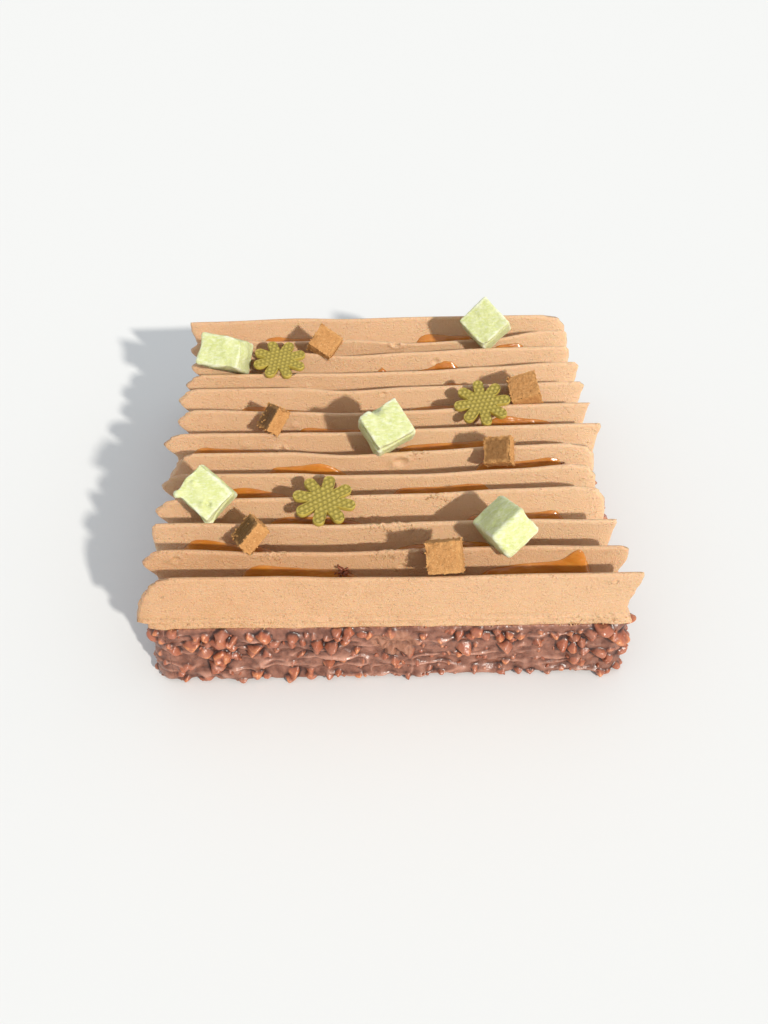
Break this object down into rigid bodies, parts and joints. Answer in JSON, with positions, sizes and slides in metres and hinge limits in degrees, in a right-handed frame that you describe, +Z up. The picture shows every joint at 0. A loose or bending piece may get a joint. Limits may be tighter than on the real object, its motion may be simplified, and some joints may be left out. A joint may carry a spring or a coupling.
{
  "type": "chocolate royal cake",
  "caption": "Square chocolate entremets: nut-studded glazed slab under piped milk chocolate cream rows, with caramel strands, marshmallow cubes, caramel cubes and wafer flowers.",
  "frame": {"origin": "middle of the slab's flat underside", "axes": "+Z up, +X to the right along the piped rows, +Y to the back"},
  "size_m": [0.1867, 0.1855, 0.0719],
  "materials": {
    "coating": "satin chocolate glaze over chopped nuts",
    "cream": "matte piped cream",
    "sauce": "glossy soft caramel",
    "marshmallow": "starch-dusted marshmallow",
    "caramel": "dry grainy caramel",
    "wafer": "dry wafer"
  },
  "bodies": {
    "root": {"slab": "coating", "row_01": "cream", "row_02": "cream", "row_03": "cream", "row_04": "cream", "row_05": "cream", "row_06": "cream", "row_07": "cream", "row_08": "cream", "row_09": "cream", "row_10": "cream", "row_11": "cream", "row_12": "cream", "row_13": "cream", "marshmallow_1": "marshmallow", "marshmallow_2": "marshmallow", "marshmallow_3": "marshmallow", "marshmallow_4": "marshmallow", "marshmallow_5": "marshmallow", "caramel_1": "caramel", "caramel_2": "caramel", "caramel_3": "caramel", "caramel_4": "caramel", "caramel_5": "caramel", "caramel_6": "caramel", "flower_1": "wafer", "flower_2": "wafer", "flower_3": "wafer"}
  },
  "joints": []
}
